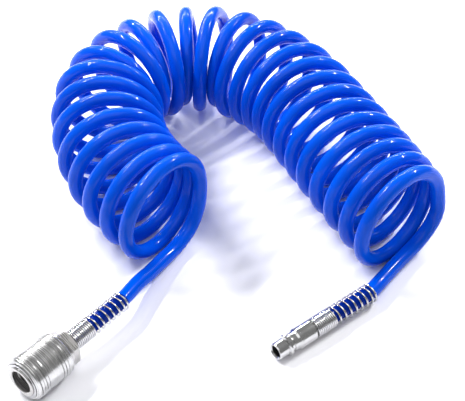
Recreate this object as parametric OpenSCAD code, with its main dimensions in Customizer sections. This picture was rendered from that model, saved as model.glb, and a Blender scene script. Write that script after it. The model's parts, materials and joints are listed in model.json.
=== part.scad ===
// Recoil air hose: a coiled polyurethane hose lying on a surface in an arch, with a
// push-fit quick coupler on one end and the matching plug on the other.
// Millimetres, +Z up, z = 0 is the surface. The origin is the bottom centre of the box
// round the whole object. Each fitting is drawn along its own +Z, from its open end
// (0) towards the hose, and is then laid down at its place.

/* [Hose coil] */
// Outer diameter of the hose
hose_d = 9; // [8:0.5:9]
// Outer diameter of the coil
coil_d = 72; // [68:1:72]
// Length of the straight leg of the coil on the plug side
leg_length = 121; // [110:1:130]
// Bend radius of the coil where the straight leg starts to turn
leg_bend_r = 116; // [100:1:140]
// Bend radius of the coil at the back of the arch
back_bend_r = 56; // [50:1:60]
// Bend radius of the coil on the coupler side
front_bend_r = 130; // [110:1:150]

/* [Coupler] */
// Outer diameter of the release sleeve
sleeve_d = 26.8; // [26.6:0.1:28]
// Length of the release sleeve
sleeve_length = 26.6; // [26.2:0.1:26.6]
// Travel of the release sleeve
sleeve_travel = 5; // [4:0.5:5]
// Diameter of the socket's mouth, which leads the plug in
entry_d = 13.8; // [13.6:0.1:13.8]
// Diameter of the bore behind it, which takes the plug's collar
mouth_d = 13.4; // [13.2:0.1:13.4]
// Diameter of the bore that takes the plug's nose
nose_bore_d = 10.4; // [10.3:0.1:10.5]
// Diameter of each locking ball
ball_d = 4; // [3.9:0.05:4]
// Width across the flats of the hexagon
hex_across_flats = 20; // [18:0.5:20]
// Travel of the valve poppet
valve_travel = 3.5; // [3:0.5:3.5]

/* [Plug] */
// Diameter of the plug's nose
nose_d = 10.2; // [10:0.05:10.2]
// Diameter of the plug's locking collar
collar_d = 13; // [12.6:0.1:13]
// Diameter of the plug's body
plug_body_d = 12.4; // [12:0.1:12.6]

/* [Bend springs] */
// Wire diameter of the springs that guard the hose against kinks
wire_d = 1.2; // [1:0.05:1.2]
// Outer diameter of these springs
bend_spring_d = 12.4; // [12.4:0.1:12.5]
// Number of close-wound turns
close_turns = 11; // [9:1:11]
// Number of open turns on the coupler side
coupler_open_turns = 6; // [4:1:6]
// Number of open turns on the plug side
plug_open_turns = 7; // [5:1:7]
// Pitch of the open turns
open_pitch = 4.1; // [3:0.1:4.1]

/* [Hidden] */
$fn = 64;

// Places: the middle of each open end, and the heading from there towards the hose
coupler_at = [-118.5, -144.5, sleeve_d / 2];
coupler_heading = 50;
plug_at = [18.3, -116.9, collar_d / 2];
plug_heading = 39;
coil_start = [96, -47.5, coil_d / 2];
coil_heading = 116;
// Bends of the coil's middle line: the radius, and the angle that it turns to the left
bends = [[leg_bend_r, 31], [back_bend_r, 124], [front_bend_r, 46.5]];

hose_r = hose_d / 2;

// Socket barrel, measured from the socket's mouth
barrel_front = 0.2;
barrel_rear = 28.2;
barrel_r = 9.3;
flange_r = 11.6;
flange_front = 19.5;
entry_end = 4.2;
ball_z = 8;
mouth_end = 11.9;
seal_groove = [12.7, 14.9];
seal_groove_r = 6.9;
seat_z = 18;
chamber_r = 7.6;
chamber_end = 22.6;
thread_r = 8.6;
ring_z = [1, 2];
ring_groove_r = 8.6;

// Locking balls: how far they stand in the mouth at rest, which is how far they move out
ball_r = ball_d / 2;
ball_out = 0.9;
ball_orbit_r = mouth_d / 2 - ball_out + ball_r;
ball_count = 6;

// Release sleeve
sleeve_r = sleeve_d / 2;
sleeve_front = 1.4;
sleeve_rear = sleeve_front + sleeve_length;
land_r = ball_orbit_r + ball_r + 0.06;
land_end = 11;
ramp_rise = ball_out + 0.03;
sleeve_chamber_r = flange_r + 0.05;

// Rear adapter
spigot_front = 22.8;
spigot_r = thread_r - 0.05;
gasket_length = 0.7;
adapter_face = barrel_rear + gasket_length;
hex_front = 30;
hex_rear = 35.2;
hex_corner_r = 11.3;
neck_r = 5.9;
neck_rear = 36.8;
web_z = [26.4, 27.8];
stem_r = 2;

// Valve
poppet_face = 18.1;
disc_front = 19.3;
disc_rear = 20.4;
disc_r = 6.8;
hub_r = 4.4;

// Hose barb and ferrule, the same on both fittings
barb_bore_r = 1.7;
barb_length = 11;
ferrule_gap = 0.3;
ferrule_length = 12;
ferrule_r = [4.55, 4.75];

// Bend springs
spring_mean_r = (bend_spring_d - wire_d) / 2;
close_pitch = wire_d + 0.07;
end_pitch = 2.2;
spring_gap = 0.2 + wire_d / 2;

// Plug, measured from the tip of the nose
nose_r = nose_d / 2;
collar_r = collar_d / 2;
plug_r = plug_body_d / 2;
plug_neck_r = 5;
plug_bore_r = 3.6;
plug_rear = 26.5;

// Free stretches of hose from each fitting to the coil
coupler_route = [
    [-62.5, -72.5, 11.5], [-59, -65.5, 10], [-54.5, -58.5, 8.5], [-50.5, -51, 7], [-45.5, -42, 5.5],
    [-40, -33, 4.5], [-34.5, -24.5, 6], [-30, -18.5, 10.5], [-27, -14.5, 17.5], [-25, -11, 26]
];
plug_route = [
    [80, -63.5, 6.5], [84, -57.5, 5.5], [90.5, -48, 5], [97.5, -39, 4.5], [104, -31.5, 5.5],
    [110, -26, 9.5], [115, -22.5, 17], [117.5, -20.5, 26]
];

silver = [0.80, 0.80, 0.82];
steel = [0.72, 0.73, 0.76];
hose_blue = [0.0, 0.25, 0.85];
rubber = [0.08, 0.08, 0.09];

function unit(v) = v / norm(v);

// Level directions straight ahead and to the left at a heading
function ahead(heading) = [cos(heading), sin(heading), 0];
function left(heading) = [-sin(heading), cos(heading), 0];

// Directions of a path at each of its points
function directions(path) = [
    for (i = [0 : len(path) - 1])
        unit(path[min(i + 1, len(path) - 1)] - path[max(i - 1, 0)])
];

// Points along a row of bends that starts at a point and heading, as [point, heading]
function along_bends(at, heading, i = 0) =
    i >= len(bends) ? []
    : let (
        r = bends[i][0],
        angle = bends[i][1],
        steps = ceil(angle / 6),
        centre = at + r * left(heading)
    )
    concat(
        [
            for (k = [1 : steps])
                let (h = heading + angle * k / steps)
                [centre - r * left(h), h]
        ],
        along_bends(centre - r * left(heading + angle), heading + angle, i + 1)
    );

// A helix from z0, with its turns given as [count, pitch] pairs
function turn_z(runs, t, i = 0) =
    i >= len(runs) ? 0
    : t <= runs[i][0] ? t * runs[i][1]
    : runs[i][0] * runs[i][1] + turn_z(runs, t - runs[i][0], i + 1);
function total_turns(runs, i = 0) =
    i >= len(runs) ? 0 : runs[i][0] + total_turns(runs, i + 1);
function helix(runs, radius, z0, steps) = [
    for (k = [0 : round(total_turns(runs) * steps)])
        let (t = k / steps)
        [radius * cos(360 * t), radius * sin(360 * t), z0 + turn_z(runs, t)]
];

// Bend spring behind a fitting that ends at z: close turns, open turns and a closed end
function bend_spring_runs(open_turns) = [
    [close_turns, close_pitch], [open_turns, open_pitch], [1, end_pitch]
];
function bend_spring_end(z, open_turns) =
    let (runs = bend_spring_runs(open_turns))
    z + spring_gap + turn_z(runs, total_turns(runs));

// A closed tube cut square at both ends, swept along a path that runs in the given
// directions. The first corner of each ring lies the way "up" points.
module swept(path, dirs, up, radius, sides) {
    last = len(path) - 1;
    rings = [
        for (i = [0 : last])
            let (
                side = unit(cross(dirs[i], up[i])),
                top = cross(side, dirs[i])
            )
            for (k = [0 : sides - 1])
                let (a = 360 * k / sides)
                path[i] + radius * (cos(a) * top + sin(a) * side)
    ];
    walls = [
        for (i = [0 : last - 1], k = [0 : sides - 1])
            let (
                a = i * sides + k,
                b = i * sides + (k + 1) % sides
            )
            each [[a, a + sides, b + sides], [a, b + sides, b]]
    ];
    start = [[for (k = [0 : sides - 1]) k]];
    end = [[for (k = [sides - 1 : -1 : 0]) last * sides + k]];
    polyhedron(points = rings, faces = concat(start, walls, end));
}

// A coil spring along +Z from z0
module spring(runs, radius, wire, z0, steps, sides) {
    path = helix(runs, radius, z0, steps);
    outwards = [for (p = path) unit([p[0], p[1], 0])];
    swept(path, directions(path), outwards, wire / 2, sides);
}

// A turned piece: the outline is a list of [radius, z]
module turned(outline) {
    rotate_extrude() polygon(outline);
}

module tube(outer, inner, z) {
    translate([0, 0, z[0]]) difference() {
        cylinder(r = outer, h = z[1] - z[0]);
        translate([0, 0, -1]) cylinder(r = inner, h = z[1] - z[0] + 2);
    }
}

module on_coupler() {
    translate(coupler_at) rotate([0, 0, coupler_heading]) rotate([0, 90, 0]) children();
}

module on_plug() {
    translate(plug_at) rotate([0, 0, plug_heading]) rotate([0, 90, 0]) children();
}

// The outer shape of the coiled stretch, a fat tube along the coil's middle line
module hose_coil() {
    leg_end = coil_start + leg_length * ahead(coil_heading);
    places = concat(
        [[coil_start, coil_heading], [leg_end, coil_heading]],
        along_bends(leg_end, coil_heading)
    );
    path = [for (p = places) p[0]];
    color(hose_blue)
        swept(path, [for (p = places) ahead(p[1])], [for (p = path) [0, 0, 1]], coil_d / 2, 36);
}

// The hose from a fitting to the coil: straight along the fitting's axis to begin with
module hose_tail(at, heading, from, to, route) {
    straight = [for (k = [0 : 2]) at + (from + (to - from) * k / 2) * ahead(heading)];
    path = concat(straight, route);
    swept(path, directions(path), [for (p = path) [0, 0, 1]], hose_r, 10);
}

module coupler_hose_tail() {
    color(hose_blue) hose_tail(coupler_at, coupler_heading, neck_rear + ferrule_gap,
        bend_spring_end(neck_rear, coupler_open_turns), coupler_route);
}

module plug_hose_tail() {
    color(hose_blue) hose_tail(plug_at, plug_heading, plug_rear + ferrule_gap,
        bend_spring_end(plug_rear, plug_open_turns), plug_route);
}

// Hollow body of the socket: mouth, seal groove, nose bore, valve seat and rear thread
module socket_barrel() {
    entry_r = entry_d / 2;
    mouth_r = mouth_d / 2;
    bore_r = nose_bore_d / 2;
    color(silver) on_coupler() difference() {
        turned([
            [entry_r + 0.4, barrel_front], [barrel_r - 0.3, barrel_front],
            [barrel_r, barrel_front + 0.3],
            [barrel_r, ring_z[0] - 0.05], [ring_groove_r, ring_z[0] - 0.05],
            [ring_groove_r, ring_z[1] + 0.05], [barrel_r, ring_z[1] + 0.05],
            [barrel_r, flange_front], [flange_r, flange_front],
            [flange_r, barrel_rear], [thread_r, barrel_rear],
            [thread_r, chamber_end], [chamber_r, chamber_end],
            [chamber_r, seat_z], [bore_r, seat_z],
            [bore_r, seal_groove[1]], [seal_groove_r, seal_groove[1]],
            [seal_groove_r, seal_groove[0]], [bore_r, seal_groove[0]],
            [bore_r, mouth_end + 0.5], [mouth_r, mouth_end],
            [mouth_r, entry_end + 0.2], [entry_r, entry_end],
            [entry_r, barrel_front + 0.4]
        ]);
        for (k = [0 : ball_count - 1])
            translate([0, 0, ball_z]) rotate([0, 0, 360 * k / ball_count])
                rotate([0, 90, 0]) cylinder(r = ball_r + 0.03, h = 12);
    }
}

// Outer sleeve with grip bands. Its ramp lets the balls out as it slides back.
module release_sleeve() {
    r = sleeve_r;
    counterbore_r = 11.35;
    color(silver) on_coupler() turned([
        [counterbore_r, sleeve_front], [11.7, sleeve_front], [12.1, 1.7],
        [12.1, 2], [12.6, 2.2], [13, 2.6], [13, 2.9], [r - 0.2, 3.1], [r - 0.1, 3.5],
        [r - 0.9, 3.7], [r - 0.9, 4.1], [r - 0.1, 4.3], [r, 4.5], [r, 5.6],
        [r - 0.4, 5.8], [r - 0.4, 6], [r, 6.2], [r, 7.3],
        [r - 0.6, 7.5], [r - 0.6, 7.8], [r, 8], [r, 9.3],
        [r - 0.7, 9.5], [r - 0.7, 9.8], [r - 0.25, 10.1], [r - 0.25, 19.6],
        [r - 0.7, 19.9], [r - 0.7, 20.2], [r, 20.4], [r, 21.7],
        [r - 0.6, 21.9], [r - 0.6, 22.2], [r, 22.4], [r, 23.7],
        [r - 0.4, 23.9], [r - 0.4, 24.1], [r, 24.3], [r, 25.4],
        [r - 0.5, 25.7], [r - 0.5, sleeve_rear - 0.6], [r - 1, sleeve_rear],
        [sleeve_chamber_r, sleeve_rear], [sleeve_chamber_r, land_end],
        [land_r, land_end], [land_r, ball_z],
        [land_r + ramp_rise, ball_z - sleeve_travel],
        [land_r + ramp_rise, ring_z[1] + 0.1], [counterbore_r, ring_z[1] + 0.1]
    ]);
}

// Return spring of the release sleeve
module sleeve_spring() {
    wire = 0.7;
    turns = 3.5;
    length = flange_front - land_end - 0.1;
    color(steel) on_coupler()
        spring([[turns, (length - wire) / turns]], 10.55, wire, land_end + 0.05 + wire / 2, 14, 6);
}

// Flat ring that stops the sleeve at the front
module retaining_ring() {
    color(steel) on_coupler() tube(11.1, ring_groove_r + 0.05, ring_z);
}

module locking_ball(k) {
    color(steel) on_coupler() rotate([0, 0, 360 * k / ball_count])
        translate([ball_orbit_r, 0, ball_z]) sphere(r = ball_r);
}

// Seal round the plug's nose
module socket_seal() {
    ring_r = (seal_groove[1] - seal_groove[0]) / 2 - 0.3;
    color(rubber) on_coupler() translate([0, 0, (seal_groove[0] + seal_groove[1]) / 2])
        rotate_extrude() translate([nose_bore_d / 2 + ring_r + 0.02, 0]) circle(r = ring_r);
}

// Poppet with its hub, disc and guide stem
module valve_poppet() {
    stem_end = web_z[1] + 0.6;
    color(silver) on_coupler() turned([
        [0, poppet_face], [hub_r - 0.4, poppet_face], [hub_r, poppet_face + 0.4],
        [hub_r, disc_front], [disc_r, disc_front], [disc_r, disc_rear],
        [stem_r, disc_rear], [stem_r, stem_end - 0.4], [stem_r - 0.4, stem_end],
        [0, stem_end]
    ]);
}

// Rubber washer that closes on the seat
module valve_seal() {
    color(rubber) on_coupler() tube(disc_r - 0.2, hub_r + 0.05, [seat_z + 0.03, disc_front - 0.02]);
}

// Spring that closes the valve
module valve_spring() {
    wire = 0.5;
    turns = 3.5;
    length = web_z[0] - disc_rear - 0.1;
    color(steel) on_coupler()
        spring([[turns, (length - wire) / turns]], 3.6, wire, disc_rear + 0.05 + wire / 2, 14, 6);
}

// A hose barb with three ridges, and its bore left to the piece that carries it
module barb(z) {
    root_r = 2.3;
    ridge_r = 2.75;
    pitch = barb_length / 3;
    for (k = [0 : 2])
        translate([0, 0, z + k * pitch])
            turned([[0, -0.01], [root_r, -0.01], [root_r, 0.6], [ridge_r, 1.2], [root_r, pitch], [0, pitch]]);
}

// Hexagon with a spigot that screws into the barrel and a barb for the hose
module rear_adapter() {
    web_r = 6.9;
    cavity_r = 4.6;
    cavity_rear = 32.4;
    color(silver) on_coupler() difference() {
        union() {
            translate([0, 0, spigot_front])
                cylinder(r = spigot_r, h = adapter_face - spigot_front);
            translate([0, 0, adapter_face]) cylinder(r = 11, h = hex_front - adapter_face);
            intersection() {
                translate([0, 0, hex_front])
                    cylinder(d = hex_across_flats / cos(30), h = hex_rear - hex_front, $fn = 6);
                turned([
                    [0, hex_front], [10.4, hex_front], [hex_corner_r, hex_front + 0.7],
                    [hex_corner_r, hex_rear - 0.7], [10.4, hex_rear], [0, hex_rear]
                ]);
            }
            translate([0, 0, hex_rear]) cylinder(r = neck_r, h = neck_rear - hex_rear);
            barb(neck_rear);
        }
        translate([0, 0, spigot_front - 1]) cylinder(r = web_r, h = web_z[0] - spigot_front + 1);
        translate([0, 0, web_z[0] - 1]) cylinder(r = stem_r + 0.05, h = web_z[1] - web_z[0] + 2);
        for (k = [0 : 3])
            rotate([0, 0, 45 + 90 * k])
                translate([4.6, 0, web_z[0] - 1]) cylinder(r = 1.2, h = web_z[1] - web_z[0] + 2);
        translate([0, 0, web_z[1]]) cylinder(r = cavity_r + 1.3, h = 1.2);
        translate([0, 0, web_z[1] + 1]) cylinder(r = cavity_r, h = cavity_rear - web_z[1] - 1);
        translate([0, 0, cavity_rear]) cylinder(r1 = cavity_r, r2 = barb_bore_r, h = 2);
        translate([0, 0, cavity_rear]) cylinder(r = barb_bore_r, h = 30);
    }
}

module adapter_gasket() {
    color(rubber) on_coupler() tube(10.8, thread_r + 0.2, [barrel_rear, adapter_face]);
}

module ferrule(z) {
    tube(ferrule_r[1], ferrule_r[0], [z + ferrule_gap, z + ferrule_gap + ferrule_length]);
}

module bend_spring(z, open_turns) {
    spring(bend_spring_runs(open_turns), spring_mean_r, wire_d, z + spring_gap, 12, 6);
}

module coupler_ferrule() {
    color(steel) on_coupler() ferrule(neck_rear);
}

module coupler_bend_spring() {
    color(steel) on_coupler() bend_spring(neck_rear, coupler_open_turns);
}

// Plug: nose, locking collar, neck for the balls, body and hose barb
module plug_body() {
    color(silver) on_plug() difference() {
        union() {
            turned([
                [0, 0], [nose_r - 0.3, 0], [nose_r, 0.5], [nose_r, 6.6],
                [collar_r - 0.2, 7.1], [collar_r, 7.3], [collar_r, 8.2],
                [collar_r - 0.3, 8.5], [plug_neck_r, 8.9], [plug_neck_r, 10.6],
                [plug_neck_r + 0.5, 10.9], [plug_neck_r + 0.5, 13.8],
                [plug_r, 15], [plug_r + 0.2, 15.2], [plug_r + 0.2, 16.4],
                [plug_r, 16.6], [plug_r, plug_rear - 0.4],
                [plug_r - 0.4, plug_rear], [0, plug_rear]
            ]);
            barb(plug_rear);
        }
        translate([0, 0, -0.4]) cylinder(r1 = plug_bore_r + 1, r2 = plug_bore_r, h = 1.2);
        translate([0, 0, -1]) cylinder(r = plug_bore_r, h = 18);
        translate([0, 0, 17]) cylinder(r1 = plug_bore_r, r2 = barb_bore_r, h = 2);
        translate([0, 0, 17]) cylinder(r = barb_bore_r, h = 30);
    }
}

module plug_ferrule() {
    color(steel) on_plug() ferrule(plug_rear);
}

module plug_bend_spring() {
    color(steel) on_plug() bend_spring(plug_rear, plug_open_turns);
}

hose_coil();
coupler_hose_tail();
plug_hose_tail();
socket_barrel();
release_sleeve();
sleeve_spring();
retaining_ring();
locking_ball(0);  // locking_ball_1
locking_ball(1);  // locking_ball_2
locking_ball(2);  // locking_ball_3
locking_ball(3);  // locking_ball_4
locking_ball(4);  // locking_ball_5
locking_ball(5);  // locking_ball_6
socket_seal();
valve_poppet();
valve_seal();
valve_spring();
rear_adapter();
adapter_gasket();
coupler_ferrule();
coupler_bend_spring();
plug_body();
plug_ferrule();
plug_bend_spring();
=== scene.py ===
"""Looks of a coiled air hose with a quick coupler and a plug. Metres, +Z up."""

import json
from math import cos, pi, radians, sin

import bpy
import numpy as np
from mathutils import Matrix, Vector


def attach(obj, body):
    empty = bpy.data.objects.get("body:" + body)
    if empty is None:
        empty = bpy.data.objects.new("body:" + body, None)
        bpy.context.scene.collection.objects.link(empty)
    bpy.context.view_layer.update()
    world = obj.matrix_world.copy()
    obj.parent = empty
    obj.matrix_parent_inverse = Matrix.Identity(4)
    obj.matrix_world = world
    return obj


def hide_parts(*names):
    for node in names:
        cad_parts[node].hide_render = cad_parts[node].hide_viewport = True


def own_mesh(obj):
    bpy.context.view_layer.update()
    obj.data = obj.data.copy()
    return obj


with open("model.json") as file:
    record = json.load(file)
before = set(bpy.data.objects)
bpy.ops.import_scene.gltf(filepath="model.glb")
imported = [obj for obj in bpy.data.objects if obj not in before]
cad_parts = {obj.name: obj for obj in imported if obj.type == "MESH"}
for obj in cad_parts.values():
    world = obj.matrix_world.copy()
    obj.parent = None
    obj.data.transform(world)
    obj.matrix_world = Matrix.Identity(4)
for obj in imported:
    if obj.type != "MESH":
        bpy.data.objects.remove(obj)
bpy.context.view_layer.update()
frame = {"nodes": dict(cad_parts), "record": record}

UP = Vector((0, 0, 1))

# Hose and its coil, as the CAD has them
HOSE_D = 0.009
HOSE_SIDES = 24
# Points on the straight stretch through each bend spring
GUARD_POINTS = 7
COIL_D = 0.072
COIL_START = Vector((0.096, -0.0475, COIL_D / 2))
COIL_HEADING = radians(116)
LEG_LENGTH = 0.121
BENDS = ((0.116, radians(31)), (0.056, radians(124)), (0.130, radians(46.5)))
COIL_LENGTH = LEG_LENGTH + sum(radius * angle for radius, angle in BENDS)

# Winding of the hose inside the coil, counted from the plug's end
WINDING_R = (COIL_D - HOSE_D) / 2
TURNS = 26.5
FIRST_TURN = 0.25
STEPS_PER_TURN = 24
# Places along the coil where the count of turns is worked out
STATIONS = 400
WOUND_FROM = 0.004
# Distance along the coil, and the pitch of the turns there
PITCHES = (
    (0.004, 0.0145), (0.071, 0.0150), (0.138, 0.0165), (0.204, 0.0160),
    (0.271, 0.0150), (0.338, 0.0175), (0.410, 0.0125),
)
# Distance along the coil, and how far each turn there is swung to the left
SWINGS = ((0.004, radians(20)), (0.064, 0), (0.350, 0), (0.410, radians(8)))
# On the inside of the tightest bend every other turn sits this much deeper
CROWD = 0.0062
# The first of these turns
DEEP_TURN = 0.75
CROWDED = (0.175, 0.200, 0.285, 0.310)

# Free stretches of hose, from each fitting to the coil
COUPLER_ROUTE = (
    (-0.0625, -0.0725, 0.0115), (-0.0590, -0.0655, 0.0100), (-0.0545, -0.0585, 0.0085),
    (-0.0505, -0.0510, 0.0070), (-0.0455, -0.0420, 0.0055), (-0.0400, -0.0330, 0.0045),
    (-0.0345, -0.0245, 0.0060), (-0.0300, -0.0185, 0.0105), (-0.0270, -0.0145, 0.0175),
    (-0.0250, -0.0110, 0.0260),
)
PLUG_ROUTE = (
    (0.0800, -0.0635, 0.0065), (0.0840, -0.0575, 0.0055), (0.0905, -0.0480, 0.0050),
    (0.0975, -0.0390, 0.0045), (0.1040, -0.0315, 0.0055), (0.1100, -0.0260, 0.0095),
    (0.1150, -0.0225, 0.0170), (0.1175, -0.0205, 0.0260),
)


# ---------------------------------------------------------------- places

class Axis:
    """The axis of a fitting: along() gives a point this far from its open end."""

    def __init__(self, mount, inset):
        found = next(m for m in frame["record"]["mounts"] if m["name"] == mount)
        self.ahead = -Vector(found["axis"]).normalized()
        self.start = Vector(found["pos_m"]) - inset * self.ahead
        side = UP.cross(self.ahead)
        self.turn = Matrix((-UP, side, self.ahead)).transposed()

    def along(self, distance):
        return self.start + distance * self.ahead

    def place(self, point):
        """A point drawn along +Z from the open end, where it really is."""
        return self.start + self.turn @ Vector(point)


coupler = Axis("socket_mouth", 0.0006)
plug = Axis("plug_nose", 0.0005)

# The hose starts this far behind each fitting's neck
HOSE_GAP = 0.0003

# Bend springs: distances are measured from each fitting's open end
SPRING_WIRE = 0.0012
SPRING_R = 0.0056
SPRING_GAP = 0.0008
CLOSE_TURNS = 11
CLOSE_PITCH = 0.00127
OPEN_PITCH = 0.0041
END_PITCH = 0.0022
COUPLER_NECK = 0.0368
COUPLER_OPEN_TURNS = 6
PLUG_NECK = 0.0265
PLUG_OPEN_TURNS = 7

# Inner springs of the coupler: where each starts and ends, its radius and its wire
SLEEVE_SPRING = (0.01105, 0.01945, 0.01055, 0.0007)
VALVE_SPRING = (0.02045, 0.02635, 0.0036, 0.0005)
INNER_TURNS = 3.5
SLEEVE_TRAVEL = 0.005
VALVE_TRAVEL = 0.0035


def ahead(heading):
    return Vector((cos(heading), sin(heading), 0))


def left(heading):
    return Vector((-sin(heading), cos(heading), 0))


def middle(distance):
    """Point and heading of the coil's middle line, this far from the plug's end."""
    straight = min(distance, LEG_LENGTH)
    heading = COIL_HEADING
    at = COIL_START + straight * ahead(heading)
    rest = distance - straight
    for radius, angle in BENDS:
        turn = min(rest / radius, angle)
        centre = at + radius * left(heading)
        heading += turn
        at = centre - radius * left(heading)
        rest -= turn * radius
    return at, heading


# ---------------------------------------------------------------- meshes

def smoothed(points, rounds):
    """Rounds a line off: each round halves its steps and keeps its ends."""
    line = np.array([tuple(p) for p in points], float)
    for _ in range(rounds):
        halves = (line[1:] + line[:-1]) / 2
        kept = line.copy()
        kept[1:-1] = (halves[:-1] + 2 * line[1:-1] + halves[1:]) / 4
        finer = np.empty((len(kept) + len(halves), 3))
        finer[0::2] = kept
        finer[1::2] = halves
        line = finer
    return [Vector(p) for p in line]


def new_object(name, vertices, faces, material, sharp=radians(35)):
    mesh = bpy.data.meshes.new(name)
    mesh.from_pydata([tuple(v) for v in vertices], [], faces)
    mesh.update()
    mesh.materials.append(material)
    mesh.shade_smooth()
    mesh.set_sharp_from_angle(angle=sharp)
    piece = bpy.data.objects.new(name, mesh)
    bpy.context.scene.collection.objects.link(piece)
    return piece


def sweep(name, line, radius, sides, material):
    """A round tube along a line, with flat ends."""
    last_point = len(line) - 1
    ahead_at = [(line[min(i + 1, last_point)] - line[max(i - 1, 0)]).normalized()
                for i in range(len(line))]
    side = ahead_at[0].orthogonal().normalized()
    vertices = []
    for point, forward in zip(line, ahead_at):
        side = (side - side.dot(forward) * forward).normalized()
        over = forward.cross(side)
        for k in range(sides):
            angle = 2 * pi * k / sides
            vertices.append(point + radius * (cos(angle) * side + sin(angle) * over))
    faces = []
    for i in range(last_point):
        for k in range(sides):
            a = i * sides + k
            b = i * sides + (k + 1) % sides
            faces.append((a, b, b + sides, a + sides))
    faces.append(tuple(range(sides - 1, -1, -1)))
    last = last_point * sides
    faces.append(tuple(range(last, last + sides)))
    return new_object(name, vertices, faces, material)


def spring(name, axis, runs, start, radius, wire, material, steps=32):
    """A coil spring on a fitting's axis, with its turns given as (count, pitch)."""
    z = start
    turned = 0
    line = [axis.place((radius, 0, z))]
    for count, pitch in runs:
        for _ in range(round(count * steps)):
            z += pitch / steps
            turned += 1
            angle = 2 * pi * turned / steps
            line.append(axis.place((radius * cos(angle), radius * sin(angle), z)))
    return sweep(name, line, wire / 2, 12, material)


# ---------------------------------------------------------------- materials

def shader(name, color, metallic=0.0, roughness=0.4, **sockets):
    material = bpy.data.materials.new(name)
    material.use_nodes = True
    surface = material.node_tree.nodes["Principled BSDF"]
    surface.inputs["Base Color"].default_value = (*color, 1)
    surface.inputs["Metallic"].default_value = metallic
    surface.inputs["Roughness"].default_value = roughness
    for socket, value in sockets.items():
        surface.inputs[socket.replace("_", " ")].default_value = value
    return material


def noise_at(tree, scale, stretch=(1, 1, 1), turn=None, detail=4):
    """Noise on the piece's own coordinates, stretched along the axes that turn gives."""
    coordinates = tree.nodes.new("ShaderNodeTexCoord")
    turned = tree.nodes.new("ShaderNodeMapping")
    turned.vector_type = "TEXTURE"
    if turn is not None:
        turned.inputs["Rotation"].default_value = turn.to_euler()
    stretched = tree.nodes.new("ShaderNodeMapping")
    stretched.inputs["Scale"].default_value = stretch
    noise = tree.nodes.new("ShaderNodeTexNoise")
    noise.inputs["Scale"].default_value = scale
    noise.inputs["Detail"].default_value = detail
    tree.links.new(coordinates.outputs["Object"], turned.inputs["Vector"])
    tree.links.new(turned.outputs["Vector"], stretched.inputs["Vector"])
    tree.links.new(stretched.outputs["Vector"], noise.inputs["Vector"])
    return noise.outputs["Fac"]


def grain(material, scale, roughness, depth, stretch=(1, 1, 1), turn=None):
    """Breaks a finish up: noise moves its roughness between two values and dents it."""
    tree = material.node_tree
    surface = tree.nodes["Principled BSDF"]
    noise = noise_at(tree, scale, stretch, turn)
    spread = tree.nodes.new("ShaderNodeMapRange")
    spread.inputs["From Min"].default_value = 0.3
    spread.inputs["From Max"].default_value = 0.7
    spread.inputs["To Min"].default_value = roughness[0]
    spread.inputs["To Max"].default_value = roughness[1]
    bump = tree.nodes.new("ShaderNodeBump")
    bump.inputs["Strength"].default_value = 0.4
    bump.inputs["Distance"].default_value = depth
    tree.links.new(noise, spread.inputs["Value"])
    tree.links.new(spread.outputs["Result"], surface.inputs["Roughness"])
    tree.links.new(noise, bump.inputs["Height"])
    tree.links.new(bump.outputs["Normal"], surface.inputs["Normal"])
    return material


def mottle(material, scale, color):
    """Lets a material's colour drift softly to another one."""
    tree = material.node_tree
    surface = tree.nodes["Principled BSDF"]
    drift = tree.nodes.new("ShaderNodeMix")
    drift.data_type = "RGBA"
    drift.inputs["A"].default_value = surface.inputs["Base Color"].default_value[:]
    drift.inputs["B"].default_value = (*color, 1)
    spread = tree.nodes.new("ShaderNodeMapRange")
    spread.inputs["From Min"].default_value = 0.35
    spread.inputs["From Max"].default_value = 0.65
    tree.links.new(noise_at(tree, scale, detail=2), spread.inputs["Value"])
    tree.links.new(spread.outputs["Result"], drift.inputs["Factor"])
    tree.links.new(drift.outputs["Result"], surface.inputs["Base Color"])
    return material


def turned_metal(name, color, roughness, axis):
    """Plated metal with the fine rings that a lathe leaves, square to a fitting's axis."""
    metal = shader(name, color, 1.0)
    grain(metal, 2500, roughness, 0.000012, (0.02, 0.02, 1), axis.turn)
    return mottle(metal, 220, tuple(0.9 * c for c in color))


def tube_plastic(name, color, other):
    """Glossy polyurethane, whose colour drifts between two blues."""
    plastic = shader(name, color, Specular_IOR_Level=0.03,
                     Coat_Weight=0.35, Coat_IOR=1.4, Coat_Roughness=0.02)
    return mottle(grain(plastic, 140, (0.16, 0.26), 0.00004), 25, other)


hose_blue = tube_plastic("hose_blue", (0.0, 0.086, 0.70), (0.0, 0.068, 0.58))
# Painted shade: the hose is coloured darker under the bend springs, where the wire shades it
hose_painted_shade = tube_plastic("hose_painted_shade", (0.0, 0.020, 0.29), (0.0, 0.013, 0.20))
coupler_nickel = turned_metal("coupler_nickel", (0.56, 0.55, 0.54), (0.20, 0.34), coupler)
coupler_chrome = turned_metal("coupler_chrome", (0.66, 0.66, 0.66), (0.18, 0.32), coupler)
plug_nickel = turned_metal("plug_nickel", (0.66, 0.66, 0.66), (0.14, 0.26), plug)
spring_wire = mottle(grain(shader("spring_wire", (0.66, 0.66, 0.67), 1.0), 1500, (0.12, 0.24), 0.00002),
                     300, (0.56, 0.56, 0.57))
spring_steel = mottle(grain(shader("spring_steel", (0.55, 0.55, 0.56), 1.0), 1500, (0.15, 0.25), 0.00001),
                      300, (0.46, 0.46, 0.48))
rubber = mottle(grain(shader("rubber", (0.02, 0.02, 0.02)), 700, (0.45, 0.65), 0.00003),
                200, (0.03, 0.03, 0.03))


# ---------------------------------------------------------------- camera and light

def look(thing, target):
    thing.rotation_euler = (thing.location - Vector(target)).to_track_quat("Z", "Y").to_euler()


def add_camera():
    data = bpy.data.cameras.new("camera")
    data.lens = 102
    data.sensor_width = 36
    data.clip_end = 20
    camera = bpy.data.objects.new("camera", data)
    camera.location = (-0.0053, -0.5993, 0.5579)
    look(camera, (-0.0053, 0.0148, 0))
    bpy.context.scene.collection.objects.link(camera)
    bpy.context.scene.camera = camera


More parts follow.
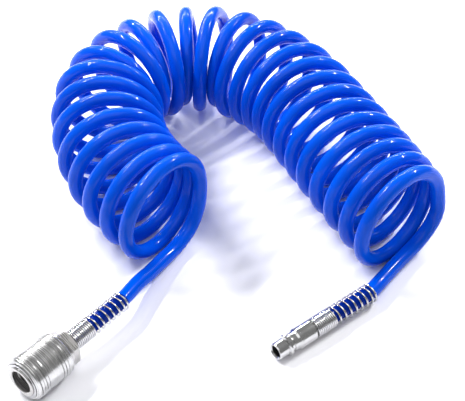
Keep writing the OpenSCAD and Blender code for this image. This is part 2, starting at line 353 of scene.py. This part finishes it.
def add_light(name, location, size, power, target=(0, 0, 0.03)):
    data = bpy.data.lights.new(name, "AREA")
    data.shape = "RECTANGLE"
    data.size, data.size_y = size
    data.energy = power
    light = bpy.data.objects.new(name, data)
    light.location = location
    look(light, target)
    bpy.context.scene.collection.objects.link(light)


def add_floor():
    half = 6
    corners = [(-half, -half, 0), (half, -half, 0), (half, half, 0), (-half, half, 0)]
    paper = grain(shader("paper", (0.92, 0.92, 0.96)), 40, (0.6, 0.7), 0.00001)
    new_object("floor", corners, [(0, 1, 2, 3)], paper)


def add_world():
    world = bpy.data.worlds.new("studio")
    world.use_nodes = True
    background = world.node_tree.nodes["Background"]
    background.inputs["Color"].default_value = (1.0, 1.0, 1.0, 1)
    background.inputs["Strength"].default_value = 0.25
    bpy.context.scene.world = world
    bpy.context.scene.view_settings.view_transform = "Standard"


add_camera()


# ---------------------------------------------------------------- hose

def wound_line():
    """The hose's middle line along the coil, from the plug's end."""
    stations = np.linspace(WOUND_FROM, COIL_LENGTH, STATIONS)
    pitch = np.interp(stations, *zip(*PITCHES))
    turns = np.concatenate(([0], np.cumsum(2 / (pitch[1:] + pitch[:-1]) * np.diff(stations))))
    turns *= TURNS / turns[-1]
    line = []
    for step in range(round(TURNS * STEPS_PER_TURN) + 1):
        turn = FIRST_TURN + step / STEPS_PER_TURN
        distance = float(np.interp(step / STEPS_PER_TURN, turns, stations))
        at, heading = middle(distance)
        heading += float(np.interp(distance, *zip(*SWINGS)))
        round_ = 2 * pi * turn - pi / 2
        crowding = float(np.interp(distance, CROWDED, (0, 1, 1, 0)))
        inside = (1 - cos(round_)) / 2
        every_other = (1 + cos(pi * (turn - DEEP_TURN))) / 2
        radius = WINDING_R - CROWD * crowding * inside * every_other
        line.append(at + radius * (sin(round_) * UP - cos(round_) * left(heading)))
    return line


def spring_runs(open_turns):
    return (CLOSE_TURNS, CLOSE_PITCH), (open_turns, OPEN_PITCH), (1, END_PITCH)


def fitting_line(axis, neck, open_turns):
    """Straight stretch of hose on a fitting's barb and through its bend spring."""
    start = neck + HOSE_GAP
    end = neck + SPRING_GAP + sum(count * pitch for count, pitch in spring_runs(open_turns))
    return [axis.along(start + (end - start) * k / (GUARD_POINTS - 1)) for k in range(GUARD_POINTS)]


def add_hose():
    line = fitting_line(coupler, COUPLER_NECK, COUPLER_OPEN_TURNS)
    line += [Vector(p) for p in COUPLER_ROUTE]
    line += reversed(wound_line())
    line += [Vector(p) for p in reversed(PLUG_ROUTE)]
    line += reversed(fitting_line(plug, PLUG_NECK, PLUG_OPEN_TURNS))
    line = smoothed(line, 1)
    hose = sweep("hose", line, HOSE_D / 2, HOSE_SIDES, hose_blue)
    hose.data.materials.append(hose_painted_shade)
    # Painted shade: the rings under both bend springs get the darker blue
    painted_shade_rings = 2 * (GUARD_POINTS - 1)
    for face in hose.data.polygons:
        ring = face.index // HOSE_SIDES
        if ring < painted_shade_rings or ring >= len(line) - 1 - painted_shade_rings:
            face.material_index = 1
    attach(hose, "hose_and_fittings")
    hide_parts("hose_coil", "coupler_hose_tail", "plug_hose_tail")


add_hose()


# ---------------------------------------------------------------- springs

def place_spring(piece, node):
    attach(piece, "hose_and_fittings")
    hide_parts(node)


def add_bend_spring(node, axis, neck, open_turns):
    piece = spring(node + "_wire", axis, spring_runs(open_turns), neck + SPRING_GAP, SPRING_R, SPRING_WIRE,
                   spring_wire)
    place_spring(piece, node)


def add_inner_spring(node, joint, travel, start, end, radius, wire):
    """A return spring inside the coupler, wound from its start to its end."""
    length = end - start - wire
    runs = ((INNER_TURNS, length / INNER_TURNS),)
    piece = spring(node + "_wire", coupler, runs, start + wire / 2, radius, wire, spring_steel)
    place_spring(piece, node)
    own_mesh(piece)


add_bend_spring("coupler_bend_spring", coupler, COUPLER_NECK, COUPLER_OPEN_TURNS)
add_bend_spring("plug_bend_spring", plug, PLUG_NECK, PLUG_OPEN_TURNS)
add_inner_spring("sleeve_spring", "sleeve_slide", SLEEVE_TRAVEL, *SLEEVE_SPRING)
add_inner_spring("valve_spring", "valve_slide", VALVE_TRAVEL, *VALVE_SPRING)


# ---------------------------------------------------------------- the fittings' finishes

def finish_nodes():
    finishes = {
        "chrome": coupler_chrome, "nickel": coupler_nickel, "rubber": rubber,
        "spring_steel": spring_steel, "spring_wire": spring_wire, "hose": hose_blue,
    }
    for part in frame["record"]["subparts"]:
        finish = finishes[part["material_slot"]]
        if part["node"] in ("plug_body", "plug_ferrule"):
            finish = plug_nickel
        mesh = frame["nodes"][part["node"]].data
        mesh.materials.clear()
        mesh.materials.append(finish)


finish_nodes()
add_floor()
add_world()
add_light("strip_behind", (-0.3, 1.4, 0.8), (2.4, 0.04), 30)
add_light("softbox_left", (-0.9, 0.5, 1.2), (0.9, 0.05), 25)
add_light("softbox_right", (0.9, 0.6, 0.9), (0.30, 0.06), 14)
add_light("overhead", (-0.1, -0.9, 1.9), (2.4, 2.0), 18)
